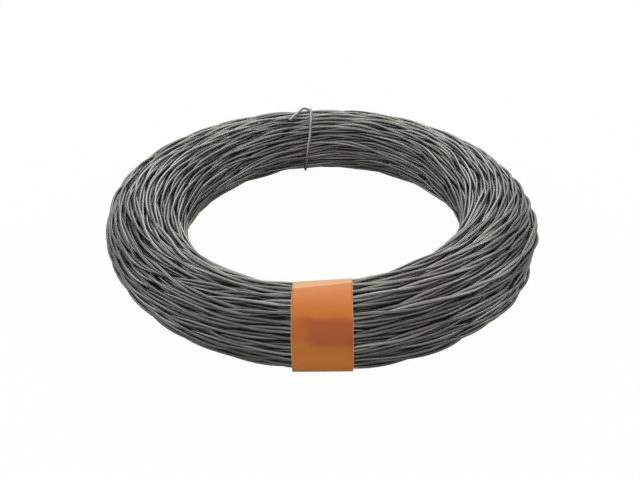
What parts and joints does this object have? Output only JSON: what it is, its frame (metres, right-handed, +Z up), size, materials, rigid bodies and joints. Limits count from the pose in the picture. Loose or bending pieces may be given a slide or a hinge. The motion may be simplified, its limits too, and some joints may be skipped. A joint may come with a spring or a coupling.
{
  "type": "coil of twisted annealed wire",
  "caption": "Round hank of dark annealed twisted wire with an open eye, bound by a single wire tie and a paper label band, lying flat.",
  "frame": {"origin": "on the floor that the coil lies on, at the centre of its eye", "axes": "+Z up along the axis of the eye, -Y towards the paper label, +Y towards the wire tie, +X to the right of the label seen from the front"},
  "size_m": [0.185, 0.1867, 0.0307],
  "materials": {
    "annealed_wire": "dark annealed steel wire with a thin grey scale, dull with soft highlights",
    "tie": "annealed steel wire, slightly brighter than the coil",
    "label_paper": "plain orange printed paper, slightly creased over the turns"
  },
  "bodies": {
    "root": {"wire_coil": "annealed_wire", "tie_wire": "tie", "label_band": "label_paper"}
  },
  "joints": []
}
